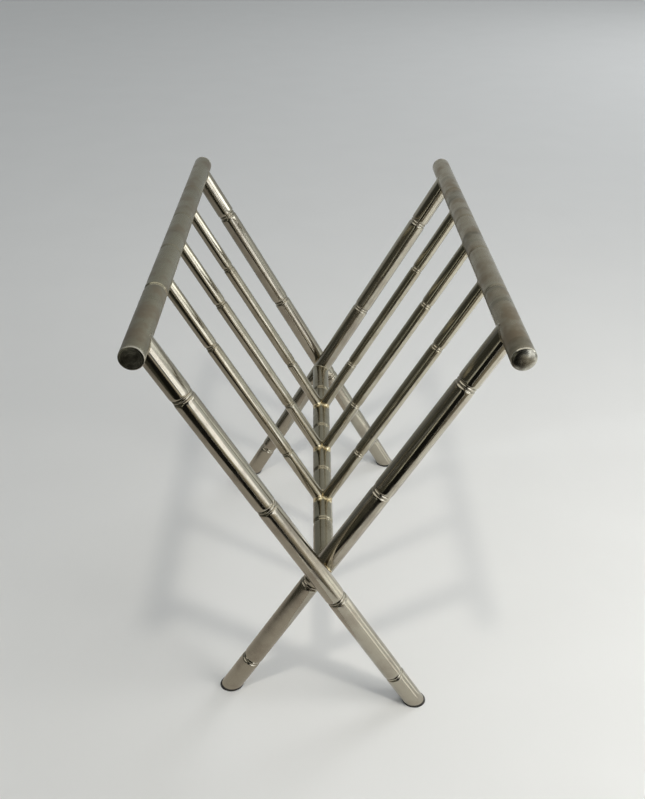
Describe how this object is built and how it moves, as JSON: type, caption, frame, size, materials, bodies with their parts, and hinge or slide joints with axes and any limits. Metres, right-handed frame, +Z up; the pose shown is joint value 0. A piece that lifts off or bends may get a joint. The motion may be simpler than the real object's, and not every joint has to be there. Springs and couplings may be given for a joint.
{
  "type": "brochure rack",
  "caption": "Free-standing brochure rack of plated bamboo-pattern tube: crossed legs carry top rails, and slats run down to a spine tube to form a V-shaped trough.",
  "frame": {"origin": "centre of the footprint, on the floor", "axes": "+Z up; X runs across the rack from the left rail to the right rail; Y runs along the rails, front at -Y"},
  "size_m": [0.308, 0.468, 0.437],
  "materials": {
    "rail_metal": "satin tarnished nickel plate with faint smudges",
    "cap_metal": "turned, darkly tarnished nickel plate",
    "leg_metal": "polished warm nickel plate",
    "slat_metal": "polished warm nickel plate",
    "braze_metal": "golden braze, worn through the plating",
    "rubber": "matt black"
  },
  "bodies": {
    "root": {"rail_left": "rail_metal", "rail_right": "rail_metal", "cap_left_front": "cap_metal", "cap_left_rear": "cap_metal", "cap_right_front": "cap_metal", "cap_right_rear": "cap_metal", "leg_front_outer": "leg_metal", "leg_front_inner": "leg_metal", "leg_rear_inner": "leg_metal", "leg_rear_outer": "leg_metal", "spine": "leg_metal", "slat_left_front": "slat_metal", "slat_left_middle": "slat_metal", "slat_left_rear": "slat_metal", "slat_right_front": "slat_metal", "slat_right_middle": "slat_metal", "slat_right_rear": "slat_metal", "braze_front": "braze_metal", "braze_rear": "braze_metal", "foot_front_outer": "rubber", "foot_front_inner": "rubber", "foot_rear_inner": "rubber", "foot_rear_outer": "rubber"}
  },
  "joints": []
}
